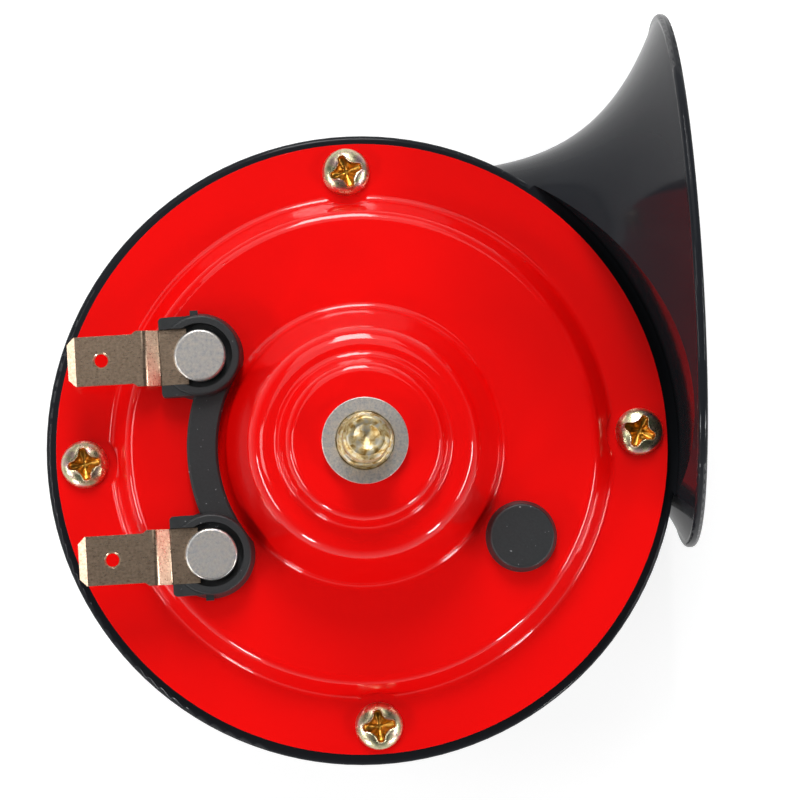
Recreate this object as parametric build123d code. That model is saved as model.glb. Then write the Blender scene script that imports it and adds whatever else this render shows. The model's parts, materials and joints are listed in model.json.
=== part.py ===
from build123d import *
import math
import os

# Electric snail horn. +Z is the pole axis, with the cover side up, and +X is the way the bell points.
# The origin is the root of the mounting stud, where its thread leaves the shoulder. All sizes are in mm.

# Mounting stud and hub washer
stud_radius = 3.0
stud_length = 8.0
stud_chamfer = 0.7
stud_dimple_radius = 1.5
stud_dimple_depth = 1.0
shoulder_radius = 3.65
shoulder_height = 1.3
stud_tail_radius = 2.5
stud_tail_length = 8.0
washer_radius = 5.45
washer_thickness = 1.2

# Trumpet mouldings: the rear one is the rim and the upper half of the bell, the front one the lower half
rim_radius = 41.0
rim_depth = 8.0
rim_edge = 0.6
rim_under_edge = 1.5
roof_depth = 5.0
chamber_depth = 2.4
throat_hole_radius = 4.0
wall = 1.8

# Cover, pressed from sheet: radii and heights of its outer surface above the flange's seat
sheet = 1.2
cover_margin = 1.4
flange_width = 7.3
step_run = 2.0
plateau_height = 5.2
cup_foot_radius = 17.9
cup_top_radius = 14.3
shoulder_level = 16.6
crown_foot_radius = 10.9
crown_radius = 9.7
crown_height = 19.8
foot_fillet = 1.0
step_fillet = 1.5
cup_fillet = 2.6
crown_fillet = 1.3
cover_radius = rim_radius - cover_margin
step_foot_radius = cover_radius - flange_width
step_top_radius = step_foot_radius - step_run

# Cover screws
screw_count = 4
screw_inset = 5.05
screw_radius = 1.5
screw_head_radius = 3.1
screw_head_height = 1.9
screw_length = 7.0
screw_pocket_clearance = 1.2
cross_length = 4.4
cross_width = 1.5
cross_depth = 1.3
screw_turns = (24.0, 12.0, 38.0, 20.0)
hole_clearance = 0.05
sheet_hole_clearance = 0.2
screw_circle_radius = rim_radius - screw_inset

# Diaphragm and gaskets
diaphragm_margin = 1.4
clamp_width = 6.6
gasket_thickness = 0.5
diaphragm_thickness = 0.4
corrugation_radius = 24.0
corrugation_width = 5.0
corrugation_height = 0.35
diaphragm_radius = rim_radius - diaphragm_margin
clamp_inner_radius = diaphragm_radius - clamp_width

# Space in the bell that the cover stands in
nest_clearance = 0.2
nest_draft = 2.3
nest_wall = 1.6

# Spiral duct: its last turn heads along +X, and it winds back anticlockwise to the middle
duct_margin = 4.1
duct_half_width = 13.4
duct_shrink_angle = 320.0
duct_end_angle = 360.0
duct_split_angle = 180.0
duct_pole_angle = 400.0
duct_wind = 1.9
duct_roof = -1.0
duct_floor = -41.0
duct_floor_start = -33.0
duct_squareness = 3.0
duct_step_angle = 30.0
entry_radius = 6.6
entry_y = 1.0
duct_radius = rim_radius - duct_half_width - duct_margin

# Bell
mouth_overhang = 2.5
mouth_drift = 3.15
mouth_depth = 10.0
mouth_radius = 35.4
lip_thickness = 1.3
lip_edge = 0.55
lip_overhang = 0.9
flare_rate = 0.1075
centre_fall_length = 16.0
centre_drift_length = 24.0
bell_stations = 9
mouth_x = rim_radius + mouth_overhang
mouth_y = duct_radius - mouth_drift

# Terminals: distances run back from the rivet's axis towards the blade's tip
terminal_y = 12.75
blade_reach = 16.9
blade_width = 6.3
blade_thickness = 0.8
blade_rise = 1.4
blade_hole_radius = 0.85
blade_hole_edge = 0.2
blade_hole_from_tip = 4.3
blade_corner = 0.9
blade_bevel = 0.25
blade_bevel_length = 1.0
shoulder_reach = 8.6
shoulder_run = 0.5
shoulder_fillet = 0.4
bend_start_reach = 7.3
bend_end_reach = 5.4
bend_inside = 0.4
bend_outside = 1.0
terminal_width = 7.1
terminal_neck = 1.6
terminal_end_radius = 3.2
rivet_head_radius = 3.35
rivet_head_height = 1.1
rivet_radius = 1.5
rivet_tail_radius = 2.6
rivet_tail_height = 0.6

# Terminal insulator
boss_radius = 5.6
boss_top_radius = 5.1
boss_gap = 0.39
boss_floor = 1.6
boss_wall_height = 3.6
boss_edge = 0.3
leg_reach = 5.1
leg_half_width = 5.1
leg_height = 3.3
leg_corner = 0.5
leg_pad_length = 1.2
leg_pad_drop = 0.4
nub_width = 1.0
nub_height = 2.4
nub_stand = 0.25
recess_clearance = 0.8
recess_side_clearance = 0.05
bar_gap = 0.75
bar_width = 3.95
bar_height = 1.9
bar_edge = 0.3
bush_radius = 2.5
terminal_reach = cup_foot_radius + boss_gap + boss_radius
terminal_x = -math.sqrt(terminal_reach ** 2 - terminal_y ** 2)
recess_radius = rivet_head_radius + recess_clearance
recess_half_width = terminal_width / 2 + recess_side_clearance

# Adjuster, on the line of the lower terminal
adjuster_radius = 2.0
adjuster_stand = 0.8
adjuster_slot_width = 0.6
adjuster_slot_depth = 0.8
adjuster_slot_turn = 35.0
collar_wall = 1.1
collar_height = 1.4
plug_radius = 4.6
plug_top_radius = 4.1
plug_height = 2.4
plug_edge = 0.35
plug_cavity_radius = 2.9
plug_roof = 1.0
plug_gap = 0.91
adjuster_reach = cup_foot_radius + plug_gap + plug_radius
adjuster_y = -terminal_y
adjuster_x = math.sqrt(adjuster_reach ** 2 - adjuster_y ** 2)

# Contact breaker
arm_width = 4.6
fixed_arm_thickness = 0.8
fixed_arm_level = 2.4
moving_arm_thickness = 0.25
spacer_height = 1.15
spacer_radius = 1.95
arm_tail = 3.2
moving_arm_end_x = 6.5
contact_x = 4.0
contact_radius = 1.4
tongue_width = 4.4
pusher_radius = 1.0
pusher_inset = 0.1
pusher_gap = 0.1
inner_insulator_radius = 4.0
inner_insulator_thickness = 0.8
tail_washer_thickness = 0.5
lug_width = 4.0
lug_length = 6.5
lug_thickness = 0.4

# Pole, coil and armature
pole_radius = 7.5
pole_spigot_radius = 4.0
pole_face_level = 6.0
air_gap = 0.7
arm_clearance = 0.15
armature_flange_thickness = 1.2
armature_stem_radius = 2.0
armature_stem_stand = 0.3
armature_washer_radius = 6.0
armature_washer_thickness = 0.6
lower_washer_radius = 5.0
armature_nut_height = 1.2
armature_nut_width = 7.0
retainer_gap = 1.1
retainer_thickness = 1.0
bobbin_side_gap = 0.7
bobbin_flange = 0.8
bobbin_tube = 1.0
bobbin_top_gap = 0.2
winding_inset = 0.5
fit_gap = 0.05
armature_flange_radius = terminal_y - arm_width / 2 - arm_clearance
pusher_reach = armature_flange_radius - pusher_radius - pusher_inset
tongue_reach = pusher_reach - pusher_radius
retainer_radius = cup_foot_radius - sheet - retainer_gap
bobbin_flange_radius = cup_top_radius - sheet - bobbin_side_gap

# Levels down from the stud's root to the joint plane, which is the top of the trumpet's rim
washer_top_z = -shoulder_height
crown_z = washer_top_z - washer_thickness
seat_z = crown_z - crown_height
rear_gasket_z = seat_z - gasket_thickness
diaphragm_z = rear_gasket_z - diaphragm_thickness
joint_z = diaphragm_z - gasket_thickness
flange_z = seat_z + sheet
plateau_z = seat_z + plateau_height
plateau_under_z = plateau_z - sheet
mouth_z = joint_z - mouth_depth
parting_z = mouth_z


def disc(radius, bottom, top, x=0.0, y=0.0):
    """A solid cylinder about a vertical axis."""
    return Pos(x, y, bottom) * Cylinder(radius, top - bottom, align=(Align.CENTER, Align.CENTER, Align.MIN))


def ring(outer, inner, bottom, top, x=0.0, y=0.0):
    """A flat ring about a vertical axis."""
    return disc(outer, bottom, top, x, y) - disc(inner, bottom - 1.0, top + 1.0, x, y)


def cone(bottom_radius, top_radius, bottom, top, x=0.0, y=0.0):
    """A truncated cone about a vertical axis."""
    body = Cone(bottom_radius, top_radius, top - bottom, align=(Align.CENTER, Align.CENTER, Align.MIN))
    return Pos(x, y, bottom) * body


def block(x0, x1, y0, y1, z0, z1):
    """A box from its lowest corner to its highest."""
    middle = ((x0 + x1) / 2, (y0 + y1) / 2, (z0 + z1) / 2)
    return Pos(*middle) * Box(x1 - x0, y1 - y0, z1 - z0)


def turned(points):
    """A solid of revolution about Z from (radius, z) points."""
    profile = Plane.XZ * make_face(Polyline(*points, close=True))
    return revolve(profile, Axis.Z)


def screw_places():
    """Centres of the cover screws."""
    angles = [2 * math.pi * i / screw_count for i in range(screw_count)]
    return [(screw_circle_radius * math.cos(a), screw_circle_radius * math.sin(a)) for a in angles]


def screw_holes(radius, bottom, top):
    """One round cutter at each cover screw."""
    return [disc(radius, bottom, top, x, y) for x, y in screw_places()]


# Duct and bell ---------------------------------------------------------------------------------------------

def superellipse(plane, half_width, half_depth, power):
    """A closed smooth section: an ellipse when power is 2, squarer when it is more."""
    count = 20
    points = []
    for i in range(count):
        angle = 2 * math.pi * i / count
        c = math.cos(angle)
        s = math.sin(angle)
        u = half_width * math.copysign(abs(c) ** (2 / power), c)
        v = half_depth * math.copysign(abs(s) ** (2 / power), s)
        points.append(plane.from_local_coords(Vector(u, v, 0)))
    return Face(Wire([Edge.make_spline(points, periodic=True)]))


def flare(distance, throat, mouth):
    """Half width of the bell at a distance behind its mouth."""
    return throat + (mouth - throat) * math.exp(-flare_rate * distance)


def bell_section(distance, inset, lip):
    """One upright section of the bell, a distance behind the mouth plane."""
    fall = 1 - math.exp(-((distance / centre_fall_length) ** 2))
    drift = 1 - math.exp(-((distance / centre_drift_length) ** 2))
    duct_middle = joint_z + (duct_roof + duct_floor) / 2
    centre_y = mouth_y + (duct_radius - mouth_y) * drift
    centre_z = mouth_z + (duct_middle - mouth_z) * fall
    throat = duct_half_width - inset
    edge = mouth_radius - lip_overhang
    half_width = flare(distance - lip, throat, edge)
    duct_half_depth = (duct_roof - duct_floor) / 2 - inset
    half_depth = half_width + (duct_half_depth - flare(mouth_x - lip, throat, edge)) * fall
    power = 2 + (duct_squareness - 2) * fall
    plane = Plane(origin=(mouth_x - distance, centre_y, centre_z), x_dir=(0, 1, 0), z_dir=(1, 0, 0))
    return superellipse(plane, half_width, half_depth, power)


def spiral_section(angle, inset):
    """One section of the spiral, an angle back from where the bell starts."""
    turn = math.radians(90.0 + angle)
    radius = duct_radius * (1 - (angle / duct_pole_angle) ** duct_wind)
    half_width = duct_half_width * math.exp(-angle / duct_shrink_angle) - inset
    floor = duct_floor + (duct_floor_start - duct_floor) * angle / duct_end_angle
    half_depth = (duct_roof - floor) / 2 - inset
    centre = (radius * math.cos(turn), radius * math.sin(turn), joint_z + (duct_roof + floor) / 2)
    tangent = (math.sin(turn), -math.cos(turn), 0)
    outward = (math.cos(turn), math.sin(turn), 0)
    plane = Plane(origin=centre, x_dir=outward, z_dir=tangent)
    return superellipse(plane, half_width, half_depth, duct_squareness)


def spiral_run(start, end, inset):
    """Sections along part of the spiral, the innermost first."""
    steps = round((end - start) / duct_step_angle)
    return [spiral_section(start + duct_step_angle * i, inset) for i in range(steps, -1, -1)]


def inner_turn(inset):
    """The inner part of the spiral."""
    return loft(spiral_run(duct_split_angle, duct_end_angle, inset))


def entry(inset):
    """The round well under the throat, where the spiral starts."""
    floor = joint_z + duct_floor_start + inset
    well = disc(entry_radius - inset, floor, joint_z + duct_roof - inset, 0.0, entry_y)
    return fillet(well.edges().sort_by(Axis.Z)[0], (entry_radius - inset) * 0.4)


def outer_turn(inset, front, lip):
    """The outer part of the spiral with the bell, up to a distance behind the mouth plane."""
    sections = spiral_run(duct_step_angle, duct_split_angle, inset)
    for i in range(bell_stations, -1, -1):
        share = i / bell_stations
        sections.append(bell_section(front + (mouth_x - front) * share ** 1.5, inset, lip))
    return loft(sections)


def nest(clearance):
    """The drafted round space above the joint plane that the cover stands in."""
    top = joint_z + mouth_radius
    base = rim_radius + clearance
    return cone(base, base + math.tan(math.radians(nest_draft)) * (top - joint_z), joint_z, top)


def duct_roof_space():
    """What stays solid over the duct: the rim's floor, and the wall round the nest."""
    radius = nest_clearance + nest_wall
    return nest(radius) + disc(rim_radius + radius, joint_z - roof_depth, joint_z)


def mouth_disc(radius, start, end):
    """A disc about the bell's axis, between two places along it."""
    plane = Plane(origin=(start, mouth_y, mouth_z), z_dir=(1, 0, 0))
    return plane * Cylinder(radius, end - start, align=(Align.CENTER, Align.CENTER, Align.MIN))


def rim():
    """The rim's disc, rounded at both edges."""
    body = disc(rim_radius, joint_z - rim_depth, joint_z)
    body = fillet(body.edges().sort_by(Axis.Z)[-1], rim_edge)
    return fillet(body.edges().sort_by(Axis.Z)[0], rim_under_edge)


def trumpet():
    """Both mouldings in one, with the duct, the diaphragm's chamber and the screw holes."""
    lip = fillet(mouth_disc(mouth_radius, mouth_x - lip_thickness, mouth_x).edges(), lip_edge)
    body = outer_turn(0.0, lip_thickness, lip_thickness) + inner_turn(0.0) + entry(0.0) + lip + rim()
    body -= nest(nest_clearance)
    roof = duct_roof_space()
    body -= outer_turn(wall, -lip_thickness, 0.0) - roof
    body -= inner_turn(wall) - roof
    body -= entry(wall) - roof
    body -= disc(clamp_inner_radius, joint_z - chamber_depth, joint_z + 1.0)
    body -= disc(throat_hole_radius, joint_z - 2 * roof_depth, joint_z)
    tip_z = flange_z - screw_length
    for hole in screw_holes(screw_radius + hole_clearance, tip_z - 2 * hole_clearance, joint_z + 1.0):
        body -= hole
    return body


def trumpet_halves():
    """The front and rear mouldings, parted at the level of the bell's axis."""
    body = trumpet()
    reach = mouth_x + 2 * mouth_radius
    above = block(-reach, reach, -reach, reach, parting_z, parting_z + reach)
    return body - above, body & above


# Diaphragm stack -------------------------------------------------------------------------------------------

def gasket(bottom):
    body = ring(diaphragm_radius, clamp_inner_radius, bottom, bottom + gasket_thickness)
    for hole in screw_holes(screw_radius + sheet_hole_clearance, bottom - 1.0, bottom + 2.0):
        body -= hole
    return body


def diaphragm():
    half = corrugation_width / 2
    top = diaphragm_z + diaphragm_thickness
    inner = armature_stem_radius + fit_gap
    upper = [(inner, top), (corrugation_radius - half, top), (corrugation_radius, top + corrugation_height),
             (corrugation_radius + half, top), (diaphragm_radius, top)]
    lower = [(r, z - diaphragm_thickness) for r, z in reversed(upper)]
    body = turned(upper + lower)
    for hole in screw_holes(screw_radius + sheet_hole_clearance, diaphragm_z - 1.0, top + 1.0):
        body -= hole
    return body


def armature():
    base = diaphragm_z + diaphragm_thickness + armature_washer_thickness
    top = joint_z + pole_face_level - air_gap
    stem_end = diaphragm_z - gasket_thickness - armature_nut_height - armature_stem_stand
    body = disc(armature_flange_radius, base, base + armature_flange_thickness)
    body += disc(pole_radius, base, top)
    body += disc(armature_stem_radius, stem_end, base)
    return chamfer(body.edges().filter_by(GeomType.CIRCLE).sort_by(Axis.Z)[-1], 0.4)


def armature_upper_washer():
    bottom = diaphragm_z + diaphragm_thickness
    hole = armature_stem_radius + fit_gap
    return ring(armature_washer_radius, hole, bottom, bottom + armature_washer_thickness)


def armature_lower_washer():
    hole = armature_stem_radius + fit_gap
    return ring(lower_washer_radius, hole, diaphragm_z - gasket_thickness, diaphragm_z)


def armature_nut():
    top = diaphragm_z - gasket_thickness
    hexagon = RegularPolygon(armature_nut_width / 2, 6, major_radius=False)
    body = Pos(0, 0, top - armature_nut_height) * extrude(hexagon, armature_nut_height)
    return body - disc(armature_stem_radius + fit_gap, top - 2 * armature_nut_height, top + 1.0)


def contact_pusher():
    bottom = diaphragm_z + diaphragm_thickness + armature_washer_thickness + armature_flange_thickness
    top = moving_arm_z() - pusher_gap
    body = disc(pusher_radius, bottom, top, 0.0, -pusher_reach)
    return fillet(body.edges().sort_by(Axis.Z)[-1], pusher_radius / 2)


# Magnet ----------------------------------------------------------------------------------------------------

def pole_core():
    face = joint_z + pole_face_level
    shelf = crown_z - sheet
    body = disc(pole_radius, face, shelf) + disc(pole_spigot_radius, shelf, crown_z)
    return body - disc(stud_tail_radius + fit_gap, crown_z - stud_tail_length, crown_z + 1.0)


def coil_retainer():
    face = joint_z + pole_face_level
    return ring(retainer_radius, pole_radius + fit_gap, face, face + retainer_thickness)


def bobbin_levels():
    """Bottom and top of the bobbin, between the retainer and the cup's shoulder."""
    bottom = joint_z + pole_face_level + retainer_thickness
    top = seat_z + shoulder_level - sheet - bobbin_top_gap
    return bottom, top


def coil_bobbin():
    bottom, top = bobbin_levels()
    inner = pole_radius + 2 * fit_gap
    body = ring(inner + bobbin_tube, inner, bottom, top)
    body += ring(bobbin_flange_radius, inner, bottom, bottom + bobbin_flange)
    body += ring(bobbin_flange_radius, inner, top - bobbin_flange, top)
    return body


def coil_winding():
    bottom, top = bobbin_levels()
    inner = pole_radius + 3 * fit_gap + bobbin_tube
    return ring(bobbin_flange_radius - winding_inset, inner, bottom + bobbin_flange, top - bobbin_flange)


# Cover -----------------------------------------------------------------------------------------------------

def cover_line():
    """Corners of the cover's outer surface as (radius, height above the seat, bend radius)."""
    return [
        (cover_radius, sheet, 0.0),
        (step_foot_radius, sheet, foot_fillet),
        (step_top_radius, plateau_height, step_fillet),
        (cup_foot_radius, plateau_height, foot_fillet),
        (cup_top_radius, shoulder_level, cup_fillet),
        (crown_foot_radius, shoulder_level, foot_fillet),
        (crown_radius, crown_height, crown_fillet),
        (0.0, crown_height, 0.0),
    ]


def sunk(corners, depth):
    """The same line moved to the inner side of the sheet."""
    moved = []
    for i, (r, z, bend) in enumerate(corners):
        normals = []
        for a, b in ((i - 1, i), (i, i + 1)):
            if a >= 0 and b < len(corners):
                dr = corners[b][0] - corners[a][0]
                dz = corners[b][1] - corners[a][1]
                length = math.hypot(dr, dz)
                normals.append((dz / length, -dr / length))
        n0 = normals[0]
        n1 = normals[-1]
        share = 1 + n0[0] * n1[0] + n0[1] * n1[1]
        turn = n0[0] * n1[1] - n0[1] * n1[0]
        bend_inside = bend + depth if turn < 0 else max(bend - depth, 0.3)
        moved.append((r - depth * (n0[0] + n1[0]) / share, z - depth * (n0[1] + n1[1]) / share,
                      bend_inside if bend else 0.0))
    return moved


def cover_body(corners, bottom):
    """A solid of revolution under the given line, with its bends rounded."""
    points = [(corners[0][0], bottom)] + [(r, z) for r, z, _ in corners] + [(0.0, bottom)]
    face = make_face(Polyline(*points, close=True))
    for r, z, bend in corners:
        if bend:
            corner = face.vertices().sort_by_distance((r, z, 0))[0]
            face = fillet(corner, bend)
    return Pos(0, 0, seat_z) * revolve(Plane.XZ * face, Axis.Z)


def rear_cover():
    outer = cover_body(cover_line(), 0.0)
    inside = cover_body(sunk(cover_line(), sheet), -sheet)
    pocket = screw_head_radius + screw_pocket_clearance
    for cutter in screw_holes(pocket, flange_z, plateau_z + 1.0):
        outer -= cutter
    for cutter in screw_holes(pocket + sheet, seat_z, plateau_z + 1.0):
        inside -= cutter
    collar_end = plateau_under_z - collar_height
    collar = disc(adjuster_radius + collar_wall, collar_end, plateau_z, adjuster_x, adjuster_y)
    body = (outer - inside) + collar
    body -= disc(adjuster_radius + fit_gap, seat_z, plateau_z + 1.0, adjuster_x, adjuster_y)
    body -= disc(pole_spigot_radius + fit_gap, seat_z, crown_z + 1.0)
    for y in (terminal_y, -terminal_y):
        body -= disc(bush_radius + fit_gap, seat_z, plateau_z + 1.0, terminal_x, y)
    for hole in screw_holes(screw_radius + sheet_hole_clearance, seat_z - 1.0, flange_z + 1.0):
        body -= hole
    return body


def cover_screw(index):
    x, y = screw_places()[index]
    top = flange_z + screw_head_height
    head = disc(screw_head_radius, flange_z, top)
    head = fillet(head.edges().sort_by(Axis.Z)[-1], screw_head_height * 0.55)
    body = head + disc(screw_radius, flange_z - screw_length, flange_z)
    for angle in (0.0, 90.0):
        wide = Pos(0, 0, top) * Rectangle(cross_length, cross_width)
        deep = Pos(0, 0, top - cross_depth) * Rectangle(cross_length * 0.45, cross_width * 0.7)
        body -= Rot(0, 0, angle) * loft([deep.face(), wide.face()])
    return Pos(x, y, 0) * Rot(0, 0, screw_turns[index]) * body


# Hub -------------------------------------------------------------------------------------------------------

def hub_washer():
    return ring(washer_radius, shoulder_radius + fit_gap, crown_z, washer_top_z)


def mounting_stud():
    thread = chamfer(disc(stud_radius, 0.0, stud_length).edges().sort_by(Axis.Z)[-1], stud_chamfer)
    body = thread + disc(shoulder_radius, crown_z, 0.0)
    body += disc(stud_tail_radius, crown_z - stud_tail_length + 1.0, crown_z)
    dimple = cone(0.0, stud_dimple_radius, stud_length - stud_dimple_depth, stud_length)
    return body - dimple


# Terminals -------------------------------------------------------------------------------------------------

def plate_under_z():
    """Underside of the terminal plates, on the boss floors."""
    return plateau_z + boss_floor


def terminal_profile():
    """Side view of a terminal, with its rivet's axis at x = 0: flat, stepped up, and bevelled at the tip."""
    low = plate_under_z()
    high = low + blade_rise
    t = blade_thickness
    slant = t / 3
    end = terminal_end_radius
    corners = [
        (end, low), (-bend_end_reach, low), (-bend_start_reach, high),
        (-blade_reach + blade_bevel_length, high),
        (-blade_reach, high + blade_bevel), (-blade_reach, high + t - blade_bevel),
        (-blade_reach + blade_bevel_length, high + t), (-bend_start_reach + slant, high + t),
        (-bend_end_reach + slant, low + t), (end, low + t),
    ]
    face = make_face(Polyline(*corners, close=True))
    bends = [(1, bend_outside), (2, bend_inside), (7, bend_outside), (8, bend_inside)]
    for index, radius in bends:
        x, z = corners[index]
        face = fillet(face.vertices().sort_by_distance((x, z, 0))[0], radius)
    return face


def terminal_plan():
    """Plan view of a terminal: blade with cut corners, shoulders, plate, and a round end under the rivet."""
    blade = blade_width / 2
    plate = terminal_width / 2
    half = [
        (-terminal_neck, plate), (-shoulder_reach + shoulder_run, plate), (-shoulder_reach, blade),
        (-blade_reach + blade_corner, blade), (-blade_reach, blade - blade_corner),
    ]
    mirrored = [(x, -y) for x, y in reversed(half)]
    face = make_face(Polyline(*(half + mirrored), close=True))
    for x, y in half[1:3] + mirrored[2:4]:
        face = fillet(face.vertices().sort_by_distance((x, y, 0))[0], shoulder_fillet)
    return face + Circle(terminal_end_radius)


def terminal(side):
    low = plate_under_z()
    top = low + blade_rise + blade_thickness
    strip = extrude(Plane.XZ * terminal_profile(), terminal_width, both=True)
    body = strip & (Pos(0, 0, low - 1.0) * extrude(terminal_plan(), top - low + 2.0))
    hole_x = -blade_reach + blade_hole_from_tip
    body -= disc(blade_hole_radius, low, top + 1.0, hole_x)
    body -= cone(blade_hole_radius, blade_hole_radius + blade_hole_edge, top - blade_hole_edge, top, hole_x)
    body -= disc(rivet_radius + fit_gap, low - 1.0, top + 1.0)
    return Pos(terminal_x, side * terminal_y, 0) * body


def terminal_boss(side):
    """A boss round one rivet, open towards the blade, with two legs beside the plate."""
    low = plateau_z
    floor = plate_under_z()
    top = low + boss_wall_height
    leg_top = low + leg_height
    legs = block(-leg_reach, 0.0, -leg_half_width, leg_half_width, low, leg_top)
    legs = fillet(legs.edges().filter_by(Axis.Z).sort_by(Axis.X)[:2], leg_corner)
    pad_end = -leg_reach + leg_pad_length
    legs -= block(-2 * leg_reach, pad_end, -boss_radius, boss_radius, leg_top - leg_pad_drop, top)
    dome = fillet(cone(boss_radius, boss_top_radius, low, top).edges().sort_by(Axis.Z)[-1], boss_edge)
    dome -= block(-2 * boss_radius, -leg_reach, -boss_radius, boss_radius, low - 1.0, top + 1.0)
    nub_y = boss_radius + nub_stand
    nub = block(-nub_width, 0.0, min(0.0, side * nub_y), max(0.0, side * nub_y), low, low + nub_height)
    body = dome + legs + nub
    body -= disc(recess_radius, floor, top + 1.0)
    body -= block(-2 * leg_reach, 0.0, -recess_half_width, recess_half_width, floor, top + 1.0)
    body += disc(bush_radius, plateau_under_z, low)
    body -= disc(rivet_radius + fit_gap, plateau_under_z - 1.0, top)
    return Pos(terminal_x, side * terminal_y, 0) * body


def terminal_insulator():
    inner = cup_foot_radius + bar_gap
    outer = inner + bar_width
    bar = ring(outer, inner, plateau_z, plateau_z + bar_height)
    reach = terminal_y - boss_radius / 2
    above = plateau_z + 2 * bar_height
    bar &= block(-2 * outer, 0.0, -reach, reach, plateau_z - 1.0, above)
    bar = chamfer(bar.faces().sort_by(Axis.Z)[-1].edges().filter_by(GeomType.CIRCLE), bar_edge)
    for side in (1, -1):
        bar -= disc(boss_top_radius, plateau_z - 1.0, above, terminal_x, side * terminal_y)
    body = bar + terminal_boss(1) + terminal_boss(-1)
    return body - disc(inner, plateau_z, plateau_z + 2 * boss_wall_height)


def rivet(side, tail_top):
    """A terminal rivet: outer head, shank, and the tail head formed inside."""
    low = plate_under_z() + blade_thickness
    y = side * terminal_y
    head = disc(rivet_head_radius, low, low + rivet_head_height, terminal_x, y)
    head = fillet(head.edges().sort_by(Axis.Z)[-1], rivet_head_height * 0.3)
    body = head + disc(rivet_radius, tail_top, low, terminal_x, y)
    return body + disc(rivet_tail_radius, tail_top - rivet_tail_height, tail_top, terminal_x, y)


def upper_rivet():
    return rivet(1, plateau_under_z - inner_insulator_thickness - lug_thickness)


def lower_rivet():
    return rivet(-1, fixed_arm_z() - tail_washer_thickness)


# Contact breaker -------------------------------------------------------------------------------------------

def fixed_arm_z():
    """Underside of the fixed arm."""
    return joint_z + fixed_arm_level


def moving_arm_z():
    """Underside of the moving arm."""
    return fixed_arm_z() + fixed_arm_thickness + spacer_height


def arm(x_end, bottom, thickness, hole):
    """A flat strip from behind the lower rivet to x_end."""
    half = arm_width / 2
    top = bottom + thickness
    strip = block(terminal_x - arm_tail, x_end, -terminal_y - half, -terminal_y + half, bottom, top)
    strip = fillet(strip.edges().filter_by(Axis.Z), half * 0.6)
    return strip - disc(hole, bottom - 1.0, top + 1.0, terminal_x, -terminal_y)


def fixed_contact_arm():
    return arm(adjuster_x + arm_tail, fixed_arm_z(), fixed_arm_thickness, spacer_radius)


def moving_contact_arm():
    bottom = moving_arm_z()
    strip = arm(moving_arm_end_x, bottom, moving_arm_thickness, rivet_radius + fit_gap)
    half = tongue_width / 2
    return strip + block(-half, half, -terminal_y, -tongue_reach, bottom, bottom + moving_arm_thickness)


def contact_split():
    """Level at which the two contacts meet."""
    return fixed_arm_z() + fixed_arm_thickness + spacer_height / 2


def fixed_contact():
    bottom = fixed_arm_z() + fixed_arm_thickness
    return disc(contact_radius, bottom, contact_split(), contact_x, -terminal_y)


def moving_contact():
    return disc(contact_radius, contact_split(), moving_arm_z(), contact_x, -terminal_y)


def arm_spacer():
    bottom = fixed_arm_z() + fixed_arm_thickness
    hole = rivet_radius + fit_gap
    body = ring(inner_insulator_radius, hole, bottom, bottom + spacer_height, terminal_x, -terminal_y)
    neck = ring(spacer_radius - fit_gap, hole, fixed_arm_z(), bottom, terminal_x, -terminal_y)
    return body + neck


def tail_washer():
    top = fixed_arm_z()
    hole = rivet_radius + fit_gap
    return ring(inner_insulator_radius, hole, top - tail_washer_thickness, top, terminal_x, -terminal_y)


def upper_inner_insulator():
    top = plateau_under_z
    hole = rivet_radius + fit_gap
    return ring(inner_insulator_radius, hole, top - inner_insulator_thickness, top, terminal_x, terminal_y)


def lower_inner_insulator():
    bottom = moving_arm_z() + moving_arm_thickness
    hole = rivet_radius + fit_gap
    return ring(inner_insulator_radius, hole, bottom, plateau_under_z, terminal_x, -terminal_y)


def coil_lug():
    top = plateau_under_z - inner_insulator_thickness
    body = block(0.0, lug_length, -lug_width / 2, lug_width / 2, top - lug_thickness, top)
    body += disc(lug_width / 2, top - lug_thickness, top)
    body -= disc(rivet_radius + fit_gap, top - 1.0, top + 1.0)
    inward = math.degrees(math.atan2(-terminal_y, -terminal_x))
    return Pos(terminal_x, terminal_y, 0) * Rot(0, 0, inward) * body


# Adjuster --------------------------------------------------------------------------------------------------

def adjusting_screw():
    bottom = fixed_arm_z() + fixed_arm_thickness
    top = plateau_z + adjuster_stand
    body = disc(adjuster_radius, bottom, top, adjuster_x, adjuster_y)
    body = chamfer(body.edges().sort_by(Axis.Z)[0], 0.5)
    slot = Box(3 * adjuster_radius, adjuster_slot_width, 2 * adjuster_slot_depth)
    return body - Pos(adjuster_x, adjuster_y, top) * Rot(0, 0, adjuster_slot_turn) * slot


def adjuster_plug():
    top = plateau_z + plug_height
    body = cone(plug_radius, plug_top_radius, plateau_z, top, adjuster_x, adjuster_y)
    body = fillet(body.edges().sort_by(Axis.Z)[-1], plug_edge)
    return body - disc(plug_cavity_radius, plateau_z - 1.0, top - plug_roof, adjuster_x, adjuster_y)


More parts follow.
